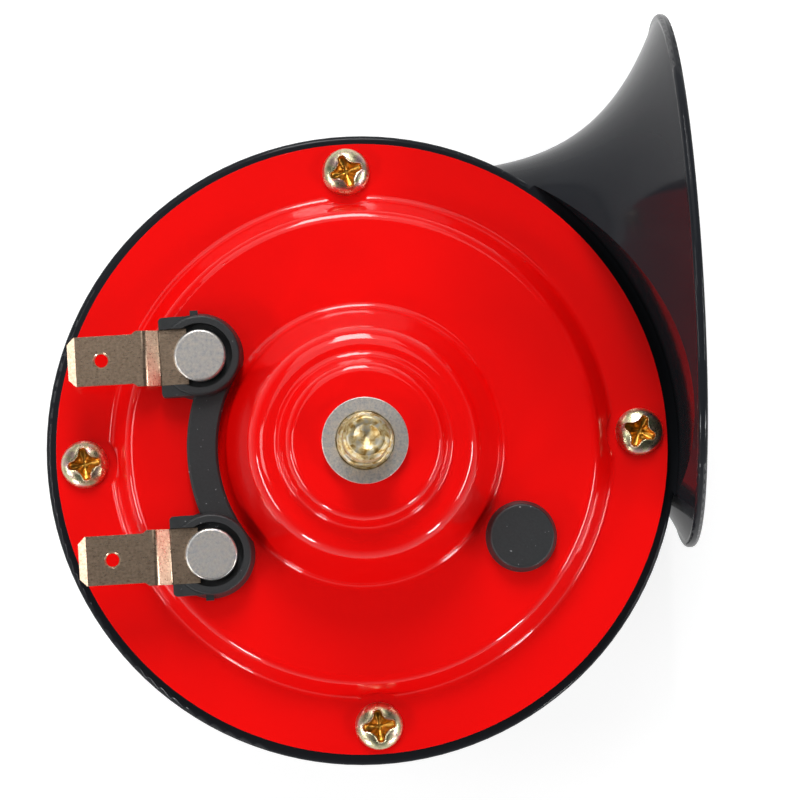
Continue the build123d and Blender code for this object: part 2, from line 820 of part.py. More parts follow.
def all_parts():
    """Every piece of the horn by its name."""
    front, rear = trumpet_halves()
    parts = {
        "trumpet_front": front,
        "trumpet_rear": rear,
        "front_gasket": gasket(joint_z),
        "diaphragm": diaphragm(),
        "rear_gasket": gasket(rear_gasket_z),
        "rear_cover": rear_cover(),
        "armature": armature(),
        "armature_upper_washer": armature_upper_washer(),
        "armature_lower_washer": armature_lower_washer(),
        "armature_nut": armature_nut(),
        "contact_pusher": contact_pusher(),
        "pole_core": pole_core(),
        "coil_retainer": coil_retainer(),
        "coil_bobbin": coil_bobbin(),
        "coil_winding": coil_winding(),
        "hub_washer": hub_washer(),
        "mounting_stud": mounting_stud(),
        "terminal_insulator": terminal_insulator(),
        "upper_terminal": terminal(1),
        "lower_terminal": terminal(-1),
        "upper_rivet": upper_rivet(),
        "lower_rivet": lower_rivet(),
        "fixed_contact_arm": fixed_contact_arm(),
        "moving_contact_arm": moving_contact_arm(),
        "fixed_contact": fixed_contact(),
        "moving_contact": moving_contact(),
        "arm_spacer": arm_spacer(),
        "tail_washer": tail_washer(),
        "upper_inner_insulator": upper_inner_insulator(),
        "lower_inner_insulator": lower_inner_insulator(),
        "coil_lug": coil_lug(),
        "adjusting_screw": adjusting_screw(),
        "adjuster_plug": adjuster_plug(),
    }
    for index in range(screw_count):
        parts[f"cover_screw_{index + 1}"] = cover_screw(index)
    return parts


os.makedirs("parts", exist_ok=True)
for name, solid in all_parts().items():
    export_step(solid, f"parts/{name}.step")
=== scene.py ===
# %% [markdown]
# # A snail car horn
# This file dresses a finished solid model of a car horn: a red pressed cover on a black spiral trumpet.
# The solid model is a fixed frame. It says where every piece is, in metres, and it is never moved here.
# Most solid pieces have the right shape already and only get their finish. Where a solid leaves out fine relief,
# such as a thread or the hollows of a cross recess, a finer piece is made in its place.

# %% Load the fixed frame
import bpy
import bmesh
import json
import math
from mathutils import Matrix, Vector


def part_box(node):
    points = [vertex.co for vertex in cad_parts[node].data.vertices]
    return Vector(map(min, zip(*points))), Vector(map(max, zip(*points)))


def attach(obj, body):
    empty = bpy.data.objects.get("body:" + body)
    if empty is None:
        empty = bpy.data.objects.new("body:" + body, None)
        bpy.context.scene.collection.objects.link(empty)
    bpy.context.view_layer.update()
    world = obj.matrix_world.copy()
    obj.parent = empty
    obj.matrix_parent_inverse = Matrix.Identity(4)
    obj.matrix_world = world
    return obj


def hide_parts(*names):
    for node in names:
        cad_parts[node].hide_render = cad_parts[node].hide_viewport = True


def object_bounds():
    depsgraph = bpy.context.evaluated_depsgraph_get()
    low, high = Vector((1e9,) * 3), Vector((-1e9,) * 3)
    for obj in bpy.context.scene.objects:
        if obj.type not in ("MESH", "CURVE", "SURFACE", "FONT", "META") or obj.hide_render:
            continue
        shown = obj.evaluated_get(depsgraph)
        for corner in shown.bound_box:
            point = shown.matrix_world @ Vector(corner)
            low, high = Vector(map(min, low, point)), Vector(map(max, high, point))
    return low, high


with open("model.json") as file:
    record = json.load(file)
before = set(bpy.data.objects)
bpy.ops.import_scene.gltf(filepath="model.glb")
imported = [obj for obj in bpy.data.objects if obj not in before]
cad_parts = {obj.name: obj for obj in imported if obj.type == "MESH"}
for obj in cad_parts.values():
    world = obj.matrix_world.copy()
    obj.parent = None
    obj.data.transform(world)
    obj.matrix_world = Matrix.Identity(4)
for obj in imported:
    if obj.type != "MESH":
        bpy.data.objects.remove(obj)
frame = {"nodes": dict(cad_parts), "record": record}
cad_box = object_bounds()
nodes = frame["nodes"]
print("solid pieces:", len(nodes))
print("box in mm:", [[round(v * 1000, 1) for v in corner] for corner in cad_box])

# %% [markdown]
# ## Helpers for materials
# Colours are easiest to read as the hex values that a paint shop or a web page would give. Blender works
# in linear light, so one function turns a hex value into linear numbers. A second one adds a node to a
# material, sets its values and joins its inputs, which keeps each material below short enough to read. A third
# starts an empty material.

# %% Colour and node helpers
MM = 0.001


def linear(hex_colour):
    """Linear RGBA from an sRGB hex value such as #C0FFEE."""
    parts = [int(hex_colour[i:i + 2], 16) / 255 for i in (1, 3, 5)]
    return tuple(c / 12.92 if c <= 0.04045 else ((c + 0.055) / 1.055) ** 2.4 for c in parts) + (1.0,)


def add_node(tree, kind, settings=None, inputs=None):
    """Adds a node. settings are its own values; inputs are numbers, colours or other nodes' outputs."""
    node = tree.nodes.new(kind)
    for name, value in (settings or {}).items():
        setattr(node, name, value)
    for key, value in (inputs or {}).items():
        if isinstance(value, bpy.types.NodeSocket):
            tree.links.new(value, node.inputs[key])
        else:
            node.inputs[key].default_value = value
    return node


def new_material(name):
    """An empty material with a Principled shader, ready for more nodes."""
    material = bpy.data.materials.new(name)
    material.use_nodes = True
    shader = material.node_tree.nodes["Principled BSDF"]
    return material, material.node_tree, shader


print("1 mm in scene units:", MM)

# %% [markdown]
# ## Placing patterns
# Every piece's mesh is in metres, so its object coordinates are metres too. A pattern whose grains are
# w millimetres wide needs a noise scale of about 1000 / w. One short function keeps that sum in one place.
# Some real grains are finer than a pixel of the picture. Those are drawn coarser, and their cells say so.

# %% Pattern size helper
def per_metre(millimetres):
    """Noise scale for grains of about this width."""
    return 1000.0 / millimetres


print("scale for grains 1 mm wide:", per_metre(1.0))

# %% [markdown]
# ## Gloss enamel on pressed steel
# The cover is pressed from sheet steel and sprayed with a bright red stoving enamel. The eye sees three
# things: a deep, even red, a hard wet gloss on top of it, and a very slight orange peel that bends the
# reflected lamps. One glossy layer could do it, but its base would mirror too and turn the red pink. So the
# gloss is a clear coat over a nearly matt base, as the paint itself is built up, and only the coat has the peel.

# %% Red enamel
enamel, tree, shader = new_material("stoved enamel, signal red")
place = add_node(tree, "ShaderNodeTexCoord")
peel = add_node(tree, "ShaderNodeTexNoise", {}, {
    "Vector": place.outputs["Object"], "Scale": per_metre(2.6), "Detail": 2.0, "Roughness": 0.45})
cloud = add_node(tree, "ShaderNodeTexNoise", {}, {
    "Vector": place.outputs["Object"], "Scale": per_metre(14.0), "Detail": 3.0})
tint = add_node(tree, "ShaderNodeMix", {"data_type": "RGBA"}, {
    "Factor": cloud.outputs["Fac"], "A": linear("#F40604"), "B": linear("#EE0404")})
peel_bump = add_node(tree, "ShaderNodeBump", {}, {
    "Height": peel.outputs["Fac"], "Strength": 0.16, "Distance": 0.06 * MM})
tree.links.new(tint.outputs["Result"], shader.inputs["Base Color"])
tree.links.new(peel_bump.outputs["Normal"], shader.inputs["Coat Normal"])
shader.inputs["Roughness"].default_value = 0.42
shader.inputs["Specular IOR Level"].default_value = 0.05
shader.inputs["Coat Weight"].default_value = 1.0
shader.inputs["Coat Roughness"].default_value = 0.07
shader.inputs["Coat IOR"].default_value = 1.5
print("finish:", enamel.name)

# %% [markdown]
# ## Moulded ABS
# The trumpet is injection moulded in black ABS with a polished tool, so it is glossy but a little softer
# than paint. Cooling leaves long shallow waves, which a bump draws, and handling leaves faint smears. A smear
# changes the gloss and not the colour, so its noise goes to the roughness.

# %% Gloss black ABS
abs_black, tree, shader = new_material("moulded ABS, gloss black")
place = add_node(tree, "ShaderNodeTexCoord")
sink = add_node(tree, "ShaderNodeTexNoise", {}, {
    "Vector": place.outputs["Object"], "Scale": per_metre(9.0), "Detail": 2.0})
handling = add_node(tree, "ShaderNodeTexNoise", {}, {
    "Vector": place.outputs["Object"], "Scale": per_metre(1.2), "Detail": 6.0, "Roughness": 0.7})
smear = add_node(tree, "ShaderNodeMapRange", {}, {
    "Value": handling.outputs["Fac"], "From Min": 0.35, "From Max": 0.75, "To Min": 0.08, "To Max": 0.16})
sink_bump = add_node(tree, "ShaderNodeBump", {}, {
    "Height": sink.outputs["Fac"], "Strength": 0.12, "Distance": 0.15 * MM})
tree.links.new(smear.outputs["Result"], shader.inputs["Roughness"])
tree.links.new(sink_bump.outputs["Normal"], shader.inputs["Normal"])
shader.inputs["Base Color"].default_value = linear("#222428")
shader.inputs["IOR"].default_value = 1.53
shader.inputs["Specular IOR Level"].default_value = 0.12
print("finish:", abs_black.name)

# %% [markdown]
# ## Glass-filled nylon
# The terminal insulator and the adjuster's plug are small mouldings in dark grey nylon. Glass fibres near the
# skin make the surface matt and faintly speckled, so they look soft beside the enamel. The fibres are about
# 0.01 mm thick, so they are drawn as grains of 0.28 mm, which is as coarse as they need to be to show. Where
# a second noise is at its very highest, it leaves sparse pale specks of dust.

# %% Matt grey nylon
nylon_grey, tree, shader = new_material("glass-filled nylon, matt graphite")
place = add_node(tree, "ShaderNodeTexCoord")
fibre = add_node(tree, "ShaderNodeTexNoise", {}, {
    "Vector": place.outputs["Object"], "Scale": per_metre(0.28), "Detail": 4.0, "Roughness": 0.6})
speckle = add_node(tree, "ShaderNodeMix", {"data_type": "RGBA"}, {
    "Factor": fibre.outputs["Fac"], "A": linear("#16181A"), "B": linear("#2A2D2F")})
dust = add_node(tree, "ShaderNodeTexNoise", {}, {
    "Vector": place.outputs["Object"], "Scale": per_metre(0.45), "Detail": 1.0})
grit = add_node(tree, "ShaderNodeMapRange", {}, {
    "Value": dust.outputs["Fac"], "From Min": 0.74, "From Max": 0.80})
dusty = add_node(tree, "ShaderNodeMix", {"data_type": "RGBA"}, {
    "Factor": grit.outputs["Result"], "A": speckle.outputs["Result"], "B": linear("#8C8E90")})
fibre_bump = add_node(tree, "ShaderNodeBump", {}, {
    "Height": fibre.outputs["Fac"], "Strength": 0.35, "Distance": 0.05 * MM})
tree.links.new(dusty.outputs["Result"], shader.inputs["Base Color"])
tree.links.new(fibre_bump.outputs["Normal"], shader.inputs["Normal"])
shader.inputs["Roughness"].default_value = 0.5
shader.inputs["IOR"].default_value = 1.53
print("finish:", nylon_grey.name)

# %% [markdown]
# ## Tinned brass
# The blades are stamped from brass strip and dipped in tin. Tin is a warm, light grey metal, and the brass
# shines through where it is thin, so the colour drifts in small stains. Rolling leaves fine lines along the
# blade, so their noise is stretched along X. The lines are drawn 0.25 mm wide, because real ones of about
# 0.05 mm would be lost between the pixels.

# %% Tinned brass
tinned, tree, shader = new_material("tinned brass strip")
place = add_node(tree, "ShaderNodeTexCoord")
along = add_node(tree, "ShaderNodeMapping", {}, {
    "Vector": place.outputs["Object"], "Scale": (0.35, 1.0, 1.0)})
lines = add_node(tree, "ShaderNodeTexNoise", {}, {
    "Vector": along.outputs["Vector"], "Scale": per_metre(0.25), "Detail": 3.0})
clouds = add_node(tree, "ShaderNodeTexNoise", {}, {
    "Vector": place.outputs["Object"], "Scale": per_metre(0.35), "Detail": 5.0, "Roughness": 0.6})
stain = add_node(tree, "ShaderNodeMapRange", {}, {
    "Value": clouds.outputs["Fac"], "From Min": 0.25, "From Max": 0.75})
tone = add_node(tree, "ShaderNodeMix", {"data_type": "RGBA"}, {
    "Factor": stain.outputs["Result"], "A": linear("#B3957A"), "B": linear("#EBD1B8")})
gloss = add_node(tree, "ShaderNodeMapRange", {}, {
    "Value": lines.outputs["Fac"], "To Min": 0.22, "To Max": 0.36})
line_bump = add_node(tree, "ShaderNodeBump", {}, {
    "Height": lines.outputs["Fac"], "Strength": 0.05, "Distance": 0.02 * MM})
tree.links.new(tone.outputs["Result"], shader.inputs["Base Color"])
tree.links.new(gloss.outputs["Result"], shader.inputs["Roughness"])
tree.links.new(line_bump.outputs["Normal"], shader.inputs["Normal"])
shader.inputs["Metallic"].default_value = 1.0
print("finish:", tinned.name)

# %% [markdown]
# ## Clear zinc plating
# The rivets and the hub's washer are steel with clear zinc on it. Barrel plating knocks the pieces together,
# so the grey is cloudy and finely nicked. A noise draws the cloud, in colour and in gloss, and the edges between
# the cells of a Voronoi pattern draw the nicks as shallow grooves that run every way.

# %% Clear zinc on steel
zinc, tree, shader = new_material("clear zinc on steel")
place = add_node(tree, "ShaderNodeTexCoord")
bloom = add_node(tree, "ShaderNodeTexNoise", {}, {
    "Vector": place.outputs["Object"], "Scale": per_metre(0.5), "Detail": 6.0, "Roughness": 0.65})
mottle = add_node(tree, "ShaderNodeMapRange", {}, {
    "Value": bloom.outputs["Fac"], "From Min": 0.33, "From Max": 0.67})
nicks = add_node(tree, "ShaderNodeTexVoronoi", {"feature": "DISTANCE_TO_EDGE"}, {
    "Vector": place.outputs["Object"], "Scale": per_metre(0.7)})
tone = add_node(tree, "ShaderNodeMix", {"data_type": "RGBA"}, {
    "Factor": mottle.outputs["Result"], "A": linear("#B8BABD"), "B": linear("#FFF7EC")})
gloss = add_node(tree, "ShaderNodeMapRange", {}, {
    "Value": bloom.outputs["Fac"], "From Min": 0.3, "From Max": 0.7, "To Min": 0.5, "To Max": 0.32})
nick_bump = add_node(tree, "ShaderNodeBump", {}, {
    "Height": nicks.outputs["Distance"], "Strength": 0.2, "Distance": 0.02 * MM})
tree.links.new(tone.outputs["Result"], shader.inputs["Base Color"])
tree.links.new(gloss.outputs["Result"], shader.inputs["Roughness"])
tree.links.new(nick_bump.outputs["Normal"], shader.inputs["Normal"])
shader.inputs["Metallic"].default_value = 1.0
print("finish:", zinc.name)

# %% [markdown]
# ## Yellow passivated zinc
# The cover screws and the stud are zinc plated too, then dipped in a yellow chromate bath. The film is so
# thin that its colour drifts between straw, green and rose as its thickness changes. A wavelength model of the
# film could give these colours, but a noise through a ramp of three of them is simpler and easy to match.
# The bath drains slowly from a screw's cross recess, so the film there is thicker and golden brown. On the
# turned and staked stud the surface is rougher and the film is paler. The three finishes differ only in
# colour, gloss and relief, so one function makes them all.

# %% Yellow zinc
FILM_THIN, FILM_MIDDLE, FILM_THICK = 0.34, 0.5, 0.66


def chromated(name, stops, drift, gloss_range, relief):
    """Zinc with a chromate film. drift is the width of its colour changes in mm."""
    material, tree, shader = new_material(name)
    place = add_node(tree, "ShaderNodeTexCoord")
    film = add_node(tree, "ShaderNodeTexNoise", {}, {
        "Vector": place.outputs["Object"], "Scale": per_metre(drift), "Detail": 3.0, "Distortion": 0.6})
    hue = add_node(tree, "ShaderNodeValToRGB", {}, {"Fac": film.outputs["Fac"]})
    hue.color_ramp.elements[0].position = FILM_THIN
    hue.color_ramp.elements[0].color = linear(stops[0])
    hue.color_ramp.elements[1].position = FILM_THICK
    hue.color_ramp.elements[1].color = linear(stops[2])
    middle = hue.color_ramp.elements.new(FILM_MIDDLE)
    middle.color = linear(stops[1])
    grain = add_node(tree, "ShaderNodeTexNoise", {}, {
        "Vector": place.outputs["Object"], "Scale": per_metre(0.35), "Detail": 4.0})
    gloss = add_node(tree, "ShaderNodeMapRange", {}, {
        "Value": grain.outputs["Fac"], "To Min": gloss_range[0], "To Max": gloss_range[1]})
    bump = add_node(tree, "ShaderNodeBump", {}, {
        "Height": grain.outputs["Fac"], "Strength": relief, "Distance": 0.05 * MM})
    tree.links.new(hue.outputs["Color"], shader.inputs["Base Color"])
    tree.links.new(gloss.outputs["Result"], shader.inputs["Roughness"])
    tree.links.new(bump.outputs["Normal"], shader.inputs["Normal"])
    shader.inputs["Metallic"].default_value = 1.0
    return material


yellow_zinc = chromated(
    "yellow passivated zinc", ("#BABE98", "#E6D9B0", "#E0BABA"), 1.3, (0.18, 0.40), 0.35)
deep_zinc = chromated(
    "yellow passivated zinc, thick film", ("#A0742C", "#D49A3E", "#F0AC4C"), 0.8, (0.26, 0.42), 0.4)
turned_zinc = chromated(
    "yellow passivated zinc, turned", ("#A07A3C", "#D8C391", "#D2CBBB"), 0.8, (0.34, 0.56), 0.8)
print("finishes:", [finish.name for finish in (yellow_zinc, deep_zinc, turned_zinc)])

# %% [markdown]
# ## The pieces inside
# The gaskets, the diaphragm, the magnet and the contact breaker are closed in by the cover. They still get the
# finish that the real ones have, so that the horn can be opened up. Each could have its own nodes, but they
# differ in little more than colour, metallic value, roughness and grain size, so a small table gives those.

# %% Finishes of the hidden pieces
# Each row: dark and light colour, metallic value, roughness, grain in mm
HIDDEN_FINISHES = {
    "pressed gasket board": ("#4A3B2C", "#5E4C38", 0.0, 0.85, 0.4),
    "rolled spring steel": ("#8D8F92", "#A5A7A9", 1.0, 0.32, 0.5),
    "plated soft iron": ("#83847F", "#9C9D98", 1.0, 0.42, 0.9),
    "enamelled copper wire": ("#8A3B16", "#A85224", 1.0, 0.30, 0.35),
    "natural nylon": ("#D8D2BF", "#E4DFCF", 0.0, 0.45, 1.2),
    "pressed fibre": ("#5A2E1C", "#6E3B25", 0.0, 0.70, 0.3),
    "silver contact": ("#C8C8C6", "#DADAD8", 1.0, 0.28, 0.4),
    "bare brass": ("#C9A552", "#D9B96B", 1.0, 0.30, 0.6),
}


def grained_material(name, dark, light, metallic, roughness, grain):
    """A plain finish with a fine grain in its colour and its bump."""
    material, tree, shader = new_material(name)
    place = add_node(tree, "ShaderNodeTexCoord")
    noise = add_node(tree, "ShaderNodeTexNoise", {}, {
        "Vector": place.outputs["Object"], "Scale": per_metre(grain), "Detail": 4.0})
    tone = add_node(tree, "ShaderNodeMix", {"data_type": "RGBA"}, {
        "Factor": noise.outputs["Fac"], "A": linear(dark), "B": linear(light)})
    bump = add_node(tree, "ShaderNodeBump", {}, {
        "Height": noise.outputs["Fac"], "Strength": 0.2, "Distance": 0.02 * MM})
    tree.links.new(tone.outputs["Result"], shader.inputs["Base Color"])
    tree.links.new(bump.outputs["Normal"], shader.inputs["Normal"])
    shader.inputs["Metallic"].default_value = metallic
    shader.inputs["Roughness"].default_value = roughness
    return material


hidden = {name: grained_material(name, *values) for name, values in HIDDEN_FINISHES.items()}
print("hidden finishes:", len(hidden))

# %% [markdown]
# ## Give each solid piece its finish
# Every piece could be given its finish by name, in 37 lines. The record of the solid model already sorts the
# pieces into slots, such as red_paint, so one table from slot to finish covers them all.

# %% Assign the finishes
SLOT_FINISH = {
    "black_plastic": abs_black,
    "red_paint": enamel,
    "grey_insulator": nylon_grey,
    "tinned_blade": tinned,
    "zinc_steel": zinc,
    "yellow_zinc_steel": yellow_zinc,
    "spring_steel": hidden["rolled spring steel"],
    "soft_iron": hidden["plated soft iron"],
    "gasket_sheet": hidden["pressed gasket board"],
    "enamelled_wire": hidden["enamelled copper wire"],
    "nylon_bobbin": hidden["natural nylon"],
    "insulating_fibre": hidden["pressed fibre"],
    "contact_metal": hidden["silver contact"],
    "brass_screw": hidden["bare brass"],
}
slot_of = {part["node"]: part["material_slot"] for part in frame["record"]["subparts"]}
for name, piece in nodes.items():
    finish = SLOT_FINISH[slot_of[name]]
    if piece.material_slots:
        for slot in piece.material_slots:
            slot.material = finish
    else:
        piece.data.materials.append(finish)
print("finishes given to", len(nodes), "pieces")

# %% [markdown]
# ## Turned and threaded pieces
# The solid model's screws and stud have plain shanks. A thread could be a bump in the material, but then the
# outline would stay straight, so they are made again here with real relief. Each is a row of rings stacked along
# Z. One function joins equal rings of points into a skin and closes both ends, so that each fastener below only
# has to say how large every ring is.

# %% Ring builder
def skin(name, rings, materials, body, inner_rows=0):
    """A closed mesh through rings of points, all of the same count, from one end to the other.

    The last inner_rows rows of faces, and the last cap, take the second material."""
    mesh = bmesh.new()
    rows = [[mesh.verts.new(Vector(point) * MM) for point in ring] for ring in rings]
    count = len(rows[0])
    outer_rows = len(rows) - 1 - inner_rows
    for row, (low, high) in enumerate(zip(rows, rows[1:])):
        for i in range(count):
            j = (i + 1) % count
            face = mesh.faces.new((low[i], low[j], high[j], high[i]))
            face.material_index = 1 if row >= outer_rows else 0
    mesh.faces.new(list(reversed(rows[0])))
    cap = mesh.faces.new(rows[-1])
    cap.material_index = 1 if inner_rows else 0
    for face in mesh.faces:
        face.smooth = True
    bmesh.ops.recalc_face_normals(mesh, faces=mesh.faces)
    data = bpy.data.meshes.new(name)
    mesh.to_mesh(data)
    mesh.free()
    piece = bpy.data.objects.new(name, data)
    bpy.context.scene.collection.objects.link(piece)
    for material in materials:
        data.materials.append(material)
    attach(piece, body)
    return piece


# %% Rings and places
def circle(radius, z, count):
    """One ring. The radius is a number or a function of the angle."""
    points = []
    for i in range(count):
        angle = 2 * math.pi * i / count
        r = radius(angle) if callable(radius) else radius
        points.append((r * math.cos(angle), r * math.sin(angle), z))
    return points


def node_place(name):
    """Centre in plan, and lowest and highest level of a solid piece, in mm."""
    low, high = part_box(name)
    return ((low[0] + high[0]) / 2 / MM, (low[1] + high[1]) / 2 / MM), low[2] / MM, high[2] / MM


print("stud from and to, in mm:", [round(level, 2) for level in node_place("mounting_stud")[1:]])

# %% [markdown]
# ## The mounting stud
# The stud carries an M6 thread with a 1 mm pitch. Its flanks meet at about 60 degrees, and it is 0.55 mm deep. A
# screw modifier could wind a profile round, but it leaves both ends open. Rings are easier to close, because on a
# helix height and angle are the same thing: the radius depends only on how far a point is along its own turn.
# The end is chamfered and has the centre drill's cone in it. The shoulder below has been staked down on the
# washer, so its edge wanders a little.

# %% Thread and staked shoulder
STUD_COUNT = 72         # points round each ring
THREAD_PITCH = 1.0
THREAD_CREST = 2.97     # radii
THREAD_ROOT = 2.42
CREST_HALF = 0.07       # half width of the crest, as a share of the pitch
FLANK_RUN = 0.36        # width of one flank, as a share of the pitch
RUN_IN = 0.8            # the thread reaches its full depth over this height
END_CHAMFER = 0.62


def thread_radius(angle, z, top):
    """Radius of the thread's skin at an angle and a level, chamfered at the top and fading out at the root."""
    turn = (z / THREAD_PITCH - angle / (2 * math.pi)) % 1.0
    flank = min(1.0, max(0.0, (abs(turn - 0.5) - CREST_HALF) / FLANK_RUN))
    fade = min(1.0, max(0.0, z / RUN_IN))
    radius = THREAD_CREST - (THREAD_CREST - THREAD_ROOT) * flank * fade
    return min(radius, THREAD_CREST - END_CHAMFER + max(0.0, top - z) * 1.0)


def staked(angle):
    """How far the staked shoulder's edge wanders from round."""
    return 0.10 * math.sin(2 * angle + 0.9) + 0.06 * math.sin(5 * angle + 0.4) + 0.03 * math.sin(11 * angle)


print("thread depth in mm:", round(THREAD_CREST - THREAD_ROOT, 2))

# %% Threaded stud
STUD_TAIL = 2.48        # radii of the tail inside the cover and of the shoulder
STUD_SHOULDER = 3.64
STAKING_LOSS = 0.05
RING_STEP = 0.08        # at least this much height from one thread ring to the next
STUD_END_GAP = 0.02     # the last thread ring lies this far under the stud's end
# Share of the way up from the washer's top to the thread's root, radius, and how much the ring wanders
STAKED_RINGS = (
    (0.10, 3.60, 0.6), (0.55, 3.52, 1.0), (0.80, 3.40, 1.0), (0.95, 3.24, 0.8), (1.0, 3.08, 0.2))
# Radius and level under the stud's end: the flat end, then the cone of the centre drill
DRILLED_END = ((2.28, 0.0), (1.66, 0.0), (1.58, -0.03), (1.50, -0.09), (0.9, -0.40), (0.12, -0.80))

_, stud_bottom, stud_top = node_place("mounting_stud")
_, washer_bottom, washer_top = node_place("hub_washer")
rings = [
    circle(STUD_TAIL, stud_bottom, STUD_COUNT), circle(STUD_TAIL, washer_bottom, STUD_COUNT),
    circle(STUD_SHOULDER, washer_bottom, STUD_COUNT), circle(STUD_SHOULDER, washer_top, STUD_COUNT)]
for share, radius, wander in STAKED_RINGS:
    rings.append(circle(
        lambda angle: radius + wander * staked(angle) - STAKING_LOSS, washer_top * (1 - share), STUD_COUNT))
thread_top = stud_top - STUD_END_GAP
steps = int(thread_top / RING_STEP)
for i in range(steps + 1):
    level = thread_top * i / steps
    rings.append(circle(lambda angle: thread_radius(angle, level, stud_top), level, STUD_COUNT))
for radius, drop in DRILLED_END:
    rings.append(circle(radius, stud_top + drop, STUD_COUNT))
stud = skin("threaded_stud", rings, [turned_zinc], "housing")
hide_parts("mounting_stud")
print("stud faces:", len(stud.data.polygons))

# %% [markdown]
# ## The cover screws
# Each screw has a domed head with a wide cross recess whose arms are joined by hollow
# curves. It could be cut from the head with a boolean, but the edge left by that is sharp and hard to round. Here
# the head's own rings change their outline instead: they are round at the head's edge and turn slowly into the
# star of the recess, so every edge is soft. Half of one arm of the star is drawn by a few corners, from the
# middle of its end to the valley between two arms, and the other seven halves are turned or mirrored from it.
# The punch has raised a small burr round the star.

# %% Cross recess
ARM_HALF = [(2.12, 0.0), (2.10, 0.26), (1.96, 0.44), (1.70, 0.52), (1.40, 0.58), (1.12, 0.70), (0.90, 0.90)]


def star(angle):
    """Radius of the recess's edge at an angle."""
    folded = abs((angle + math.pi / 4) % (math.pi / 2) - math.pi / 4)
    corners = [(math.atan2(y, x), math.hypot(x, y)) for x, y in ARM_HALF]
    for (a0, r0), (a1, r1) in zip(corners, corners[1:]):
        if folded <= a1:
            share = (folded - a0) / (a1 - a0)
            return r0 + (r1 - r0) * share
    return corners[-1][1]


ROUNDING = (-0.05, -0.025, 0.0, 0.025, 0.05)    # angles in radians, over which the corners are averaged


def smooth_star(angle):
    """The same edge with its corners rounded."""
    return sum(star(angle + shift) for shift in ROUNDING) / len(ROUNDING)


print("recess in mm: from", round(smooth_star(math.pi / 4), 2), "to", round(smooth_star(0.0), 2))

# %% Screw heads
SCREW_COUNT = 120       # points round each ring
HEAD_RADIUS = 3.08
HEAD_FOOT = 0.25        # height of the head's upright edge
DOME_POWER = 2.3
COVER_SHEET = 1.2
# Each ring: its place, from 1 at the head's edge over 0 at the recess's edge to below 0 inside it, and its drop
DOME_RINGS = [(place, 0.0) for place in (1.0, 0.97, 0.92, 0.84, 0.74, 0.62, 0.48, 0.34, 0.20, 0.14)]
BURR_RINGS = [(0.10, 0.02), (0.06, 0.06), (0.02, 0.06), (0.0, 0.0)]
RECESS_RINGS = [
    (-0.03, -0.12), (-0.05, -0.32), (-0.10, -0.62), (-0.14, -0.72),
    (-0.35, -0.95), (-0.60, -1.22), (-0.72, -1.40), (-0.86, -1.46)]


def dome(share, height):
    """Level of the head over its seat, at a share of its radius."""
    return HEAD_FOOT + (height - HEAD_FOOT) * max(0.0, 1.0 - share ** DOME_POWER) ** 0.5


def head_ring(place, drop, height, turn):
    """One ring of the head, with its place and drop as in the tables above."""
    points = []
    for i in range(SCREW_COUNT):
        angle = 2 * math.pi * i / SCREW_COUNT
        edge = smooth_star(angle)
        r = edge + (HEAD_RADIUS - edge) * place if place >= 0 else edge * (1 + place)
        z = dome(min(1.0, r / HEAD_RADIUS), height) + drop
        points.append((r * math.cos(angle + turn), r * math.sin(angle + turn), z))
    return points


print("rings in a head:", len(DOME_RINGS + BURR_RINGS + RECESS_RINGS))

# %% Screws
SCREW_TURNS = {"cover_screw_1": -25.0, "cover_screw_2": 16.5, "cover_screw_3": 6.5, "cover_screw_4": 5.0}
SHANK_TIP, SHANK_START = 0.9, 1.4           # radii at the tip and where the thread starts
SHANK_CREST, SHANK_ROOT = 1.44, 1.16
SHANK_PITCH = 0.5
CREST_AT, ROOT_AT = 0.12, 0.37              # heights within one turn of the thread
HEAD_EDGE = 0.12                            # rounding of the head's lower edge
SEAT_GAP = 0.02
flange_level = node_place("rear_cover")[1] + COVER_SHEET


def shank_rings(shank):
    """Rings of the shank, from its tip's level up to the head. The thread is drawn as plain grooves."""
    thread_start = shank + SHANK_PITCH
    rings = [circle(SHANK_TIP, shank, SCREW_COUNT), circle(SHANK_START, thread_start, SCREW_COUNT)]
    for i in range(int(-shank / SHANK_PITCH) - 1):
        level = thread_start + i * SHANK_PITCH
        rings.append(circle(SHANK_CREST, level + CREST_AT, SCREW_COUNT))
        rings.append(circle(SHANK_ROOT, level + ROOT_AT, SCREW_COUNT))
    rings.append(circle(SHANK_CREST, -SEAT_GAP, SCREW_COUNT))
    rings.append(circle(HEAD_RADIUS - HEAD_EDGE, 0.0, SCREW_COUNT))
    rings.append(circle(HEAD_RADIUS, HEAD_EDGE, SCREW_COUNT))
    return rings


for name, degrees in SCREW_TURNS.items():
    centre, bottom, top = node_place(name)
    rings = shank_rings(bottom - flange_level)
    for place, drop in DOME_RINGS + BURR_RINGS + RECESS_RINGS:
        rings.append(head_ring(place, drop, top - flange_level, math.radians(degrees)))
    piece = skin(
        "pan_" + name, rings, [yellow_zinc, deep_zinc], "housing", len(RECESS_RINGS))
    piece.data.transform(Matrix.Translation((centre[0] * MM, centre[1] * MM, flange_level * MM)))
    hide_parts(name)
print("screws:", len(SCREW_TURNS))

# %% [markdown]
# ## Rounded edges
# No pressed or moulded edge is truly sharp: paint and tooling leave a small radius that catches the light. The
# pieces could be modelled again with round edges, but the solid ones have the right form already. A bevel
# modifier rounds their sharp edges and nothing else. A weld modifier before it joins their corners first,
# because a bevel needs faces that share their edges.

